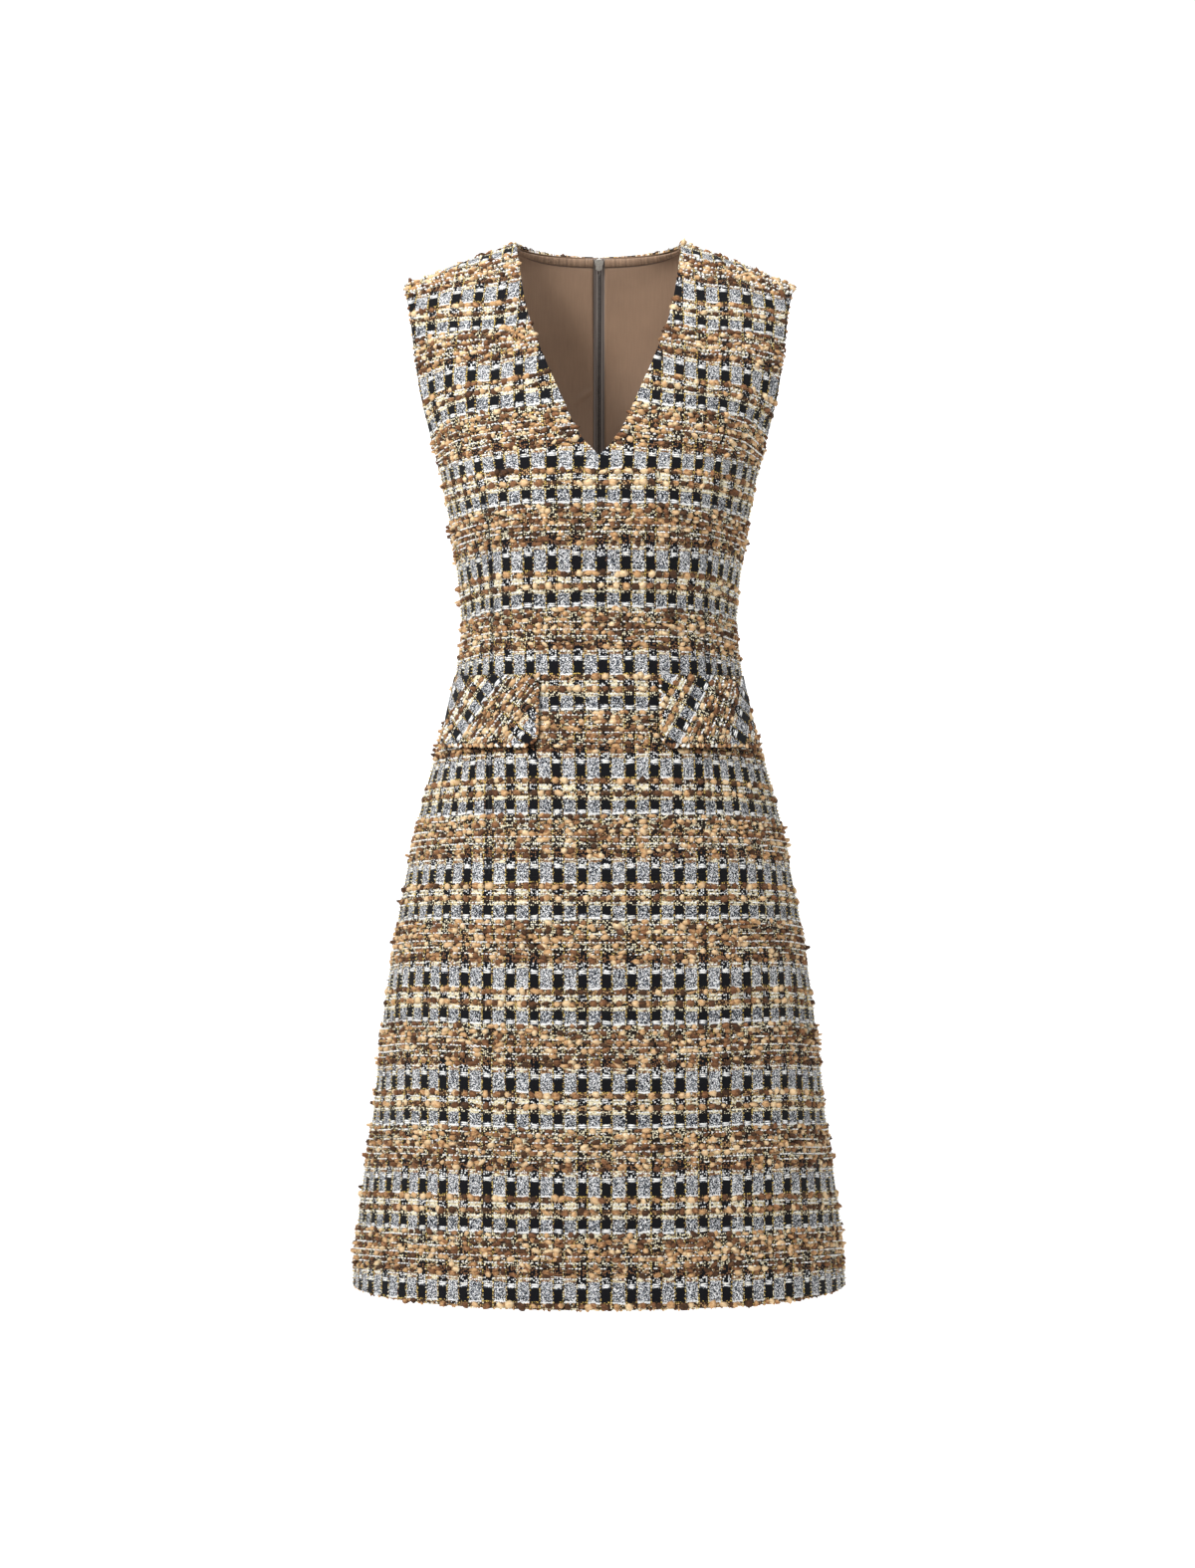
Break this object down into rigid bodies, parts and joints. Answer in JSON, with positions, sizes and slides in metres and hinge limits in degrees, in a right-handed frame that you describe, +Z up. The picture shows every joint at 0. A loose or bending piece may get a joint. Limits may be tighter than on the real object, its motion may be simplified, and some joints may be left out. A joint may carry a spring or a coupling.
{
  "type": "shift dress",
  "caption": "Sleeveless V-neck A-line shift dress in checked tweed with pocket flaps and a concealed zip at the centre back, standing hollow as if worn.",
  "frame": {"origin": "midway between the two shoulder tops, where the shoulder seams meet the neckline", "axes": "+Z up, -Y the front of the dress, +X towards the wearer's left"},
  "size_m": [0.439, 0.303, 0.9282],
  "materials": {
    "boucle_tweed": "matte, checked boucle wool tweed",
    "bias_tweed": "matte, the same tweed cut on the bias",
    "lining": "smooth brown satin",
    "zip_tape": "matte woven tape",
    "zip_coil": "nylon coil",
    "zip_metal": "polished nickel"
  },
  "bodies": {
    "dress": {"front_panel": "boucle_tweed", "back_panel_left": "boucle_tweed", "pocket_flap_left": "bias_tweed", "back_lining_left": "lining", "zip_tape_left": "zip_tape", "zip_coil_left": "zip_coil", "back_panel_right": "boucle_tweed", "pocket_flap_right": "bias_tweed", "back_lining_right": "lining", "zip_tape_right": "zip_tape", "zip_coil_right": "zip_coil", "zip_slider": "zip_metal"},
    "zip_pull": {"zip_pull": "zip_metal"}
  },
  "joints": [
    {"name": "zip_pull_swing", "type": "hinge", "parent": "dress", "child": "zip_pull", "pos_m": [0, 0.04324, -0.00894], "axis": [1, 0, 0], "range_deg": [0, 150]}
  ]
}
